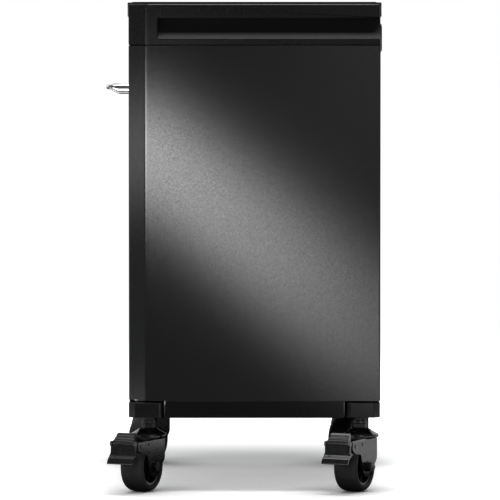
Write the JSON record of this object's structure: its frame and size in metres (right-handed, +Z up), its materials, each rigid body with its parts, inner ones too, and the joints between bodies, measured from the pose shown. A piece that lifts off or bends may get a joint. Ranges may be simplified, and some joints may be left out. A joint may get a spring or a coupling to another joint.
{
  "type": "rolling tool chest",
  "caption": "Black folded-steel drawer cabinet with slanted front posts and a moulded top with side finger grips, rolling on swivel casters with brake pedals.",
  "frame": {"origin": "middle of the parked chest's bounding box, at floor level", "axes": "+Z up; the drawers open towards -Y; the chest's right-hand side, with the braked casters, faces +X"},
  "size_m": [0.7639, 0.5436, 0.9517],
  "materials": {
    "steel_black": "satin powder coat with a fine grain",
    "worktop_black": "moulded plastic with a fine leather-like grain",
    "block_black": "moulded plastic, satin",
    "caster_black": "glossy black plating over pressed steel",
    "tyre": "smooth dark rubber",
    "wheel_core": "moulded plastic",
    "aluminium": "brushed and clear anodised",
    "chrome": "polished plating",
    "zinc_steel": "bright zinc plating"
  },
  "bodies": {
    "cabinet": {"side_panel_right": "steel_black", "side_panel_left": "steel_black", "back_panel": "steel_black", "floor_pan": "steel_black", "front_rail": "steel_black", "worktop": "worktop_black", "rear_tie_plate": "steel_black", "base_frame": "steel_black", "corner_block_front_left": "block_black", "corner_block_front_right": "block_black", "corner_block_rear_left": "block_black", "corner_block_rear_right": "block_black", "slide_5_right": "zinc_steel", "slide_5_left": "zinc_steel", "slide_4_right": "zinc_steel", "slide_4_left": "zinc_steel", "slide_3_right": "zinc_steel", "slide_3_left": "zinc_steel", "slide_2_right": "zinc_steel", "slide_2_left": "zinc_steel", "slide_1_right": "zinc_steel", "slide_1_left": "zinc_steel", "caster_stem_front_left": "zinc_steel", "caster_stem_front_right": "zinc_steel", "caster_stem_rear_left": "zinc_steel", "caster_stem_rear_right": "zinc_steel"},
    "drawer_1": {"drawer_1_box": "steel_black", "drawer_1_front": "steel_black", "drawer_1_handle": "chrome"},
    "drawer_2": {"drawer_2_box": "steel_black", "drawer_2_front": "steel_black", "drawer_2_pull": "aluminium"},
    "drawer_3": {"drawer_3_box": "steel_black", "drawer_3_front": "steel_black", "drawer_3_pull": "aluminium"},
    "drawer_4": {"drawer_4_box": "steel_black", "drawer_4_front": "steel_black", "drawer_4_pull": "aluminium"},
    "drawer_5": {"drawer_5_box": "steel_black", "drawer_5_front": "steel_black", "drawer_5_pull": "aluminium"},
    "lock": {"lock_plug": "chrome"},
    "caster_front_left": {"caster_fork_front_left": "caster_black", "wheel_axle_front_left": "zinc_steel"},
    "wheel_front_left": {"wheel_tyre_front_left": "tyre", "wheel_core_front_left": "wheel_core"},
    "caster_front_right": {"caster_fork_front_right": "caster_black", "wheel_axle_front_right": "zinc_steel"},
    "wheel_front_right": {"wheel_tyre_front_right": "tyre", "wheel_core_front_right": "wheel_core"},
    "pedal_front_right": {"brake_pedal_front_right": "caster_black"},
    "caster_rear_left": {"caster_fork_rear_left": "caster_black", "wheel_axle_rear_left": "zinc_steel"},
    "wheel_rear_left": {"wheel_tyre_rear_left": "tyre", "wheel_core_rear_left": "wheel_core"},
    "caster_rear_right": {"caster_fork_rear_right": "caster_black", "wheel_axle_rear_right": "zinc_steel"},
    "wheel_rear_right": {"wheel_tyre_rear_right": "tyre", "wheel_core_rear_right": "wheel_core"},
    "pedal_rear_right": {"brake_pedal_rear_right": "caster_black"}
  },
  "joints": [
    {"name": "drawer_1_slide", "type": "slide", "parent": "cabinet", "child": "drawer_1", "axis": [0, -1, 0], "range_m": [0, 0.33]},
    {"name": "drawer_2_slide", "type": "slide", "parent": "cabinet", "child": "drawer_2", "axis": [0, -1, 0], "range_m": [0, 0.33]},
    {"name": "drawer_3_slide", "type": "slide", "parent": "cabinet", "child": "drawer_3", "axis": [0, -1, 0], "range_m": [0, 0.33]},
    {"name": "drawer_4_slide", "type": "slide", "parent": "cabinet", "child": "drawer_4", "axis": [0, -1, 0], "range_m": [0, 0.33]},
    {"name": "drawer_5_slide", "type": "slide", "parent": "cabinet", "child": "drawer_5", "axis": [0, -1, 0], "range_m": [0, 0.33]},
    {"name": "lock_turn", "type": "hinge", "parent": "cabinet", "child": "lock", "pos_m": [0.19, -0.2108, 0.854], "axis": [0, -1, 0], "range_deg": [0, 90]},
    {"name": "swivel_front_left", "type": "hinge", "parent": "cabinet", "child": "caster_front_left", "pos_m": [-0.3445, -0.1833, 0.11], "axis": [0, 0, 1], "continuous": true},
    {"name": "roll_front_left", "type": "hinge", "parent": "caster_front_left", "child": "wheel_front_left", "pos_m": [-0.31933, -0.19557, 0.05], "axis": [0.4384, 0.8988, 0], "continuous": true},
    {"name": "swivel_front_right", "type": "hinge", "parent": "cabinet", "child": "caster_front_right", "pos_m": [0.2605, -0.1833, 0.11], "axis": [0, 0, 1], "continuous": true},
    {"name": "roll_front_right", "type": "hinge", "parent": "caster_front_right", "child": "wheel_front_right", "pos_m": [0.28567, -0.19557, 0.05], "axis": [0.4384, 0.8988, 0], "continuous": true},
    {"name": "brake_front_right", "type": "hinge", "parent": "caster_front_right", "child": "pedal_front_right", "pos_m": [0.3351, -0.21968, 0.093], "axis": [-0.4384, -0.8988, 0], "range_deg": [0, 18]},
    {"name": "swivel_rear_left", "type": "hinge", "parent": "cabinet", "child": "caster_rear_left", "pos_m": [-0.3445, 0.2307, 0.11], "axis": [0, 0, 1], "continuous": true},
    {"name": "roll_rear_left", "type": "hinge", "parent": "caster_rear_left", "child": "wheel_rear_left", "pos_m": [-0.31933, 0.21843, 0.05], "axis": [0.4384, 0.8988, 0], "continuous": true},
    {"name": "swivel_rear_right", "type": "hinge", "parent": "cabinet", "child": "caster_rear_right", "pos_m": [0.2605, 0.2307, 0.11], "axis": [0, 0, 1], "continuous": true},
    {"name": "roll_rear_right", "type": "hinge", "parent": "caster_rear_right", "child": "wheel_rear_right", "pos_m": [0.28567, 0.21843, 0.05], "axis": [0.4384, 0.8988, 0], "continuous": true},
    {"name": "brake_rear_right", "type": "hinge", "parent": "caster_rear_right", "child": "pedal_rear_right", "pos_m": [0.3351, 0.19432, 0.093], "axis": [-0.4384, -0.8988, 0], "range_deg": [0, 18]}
  ]
}
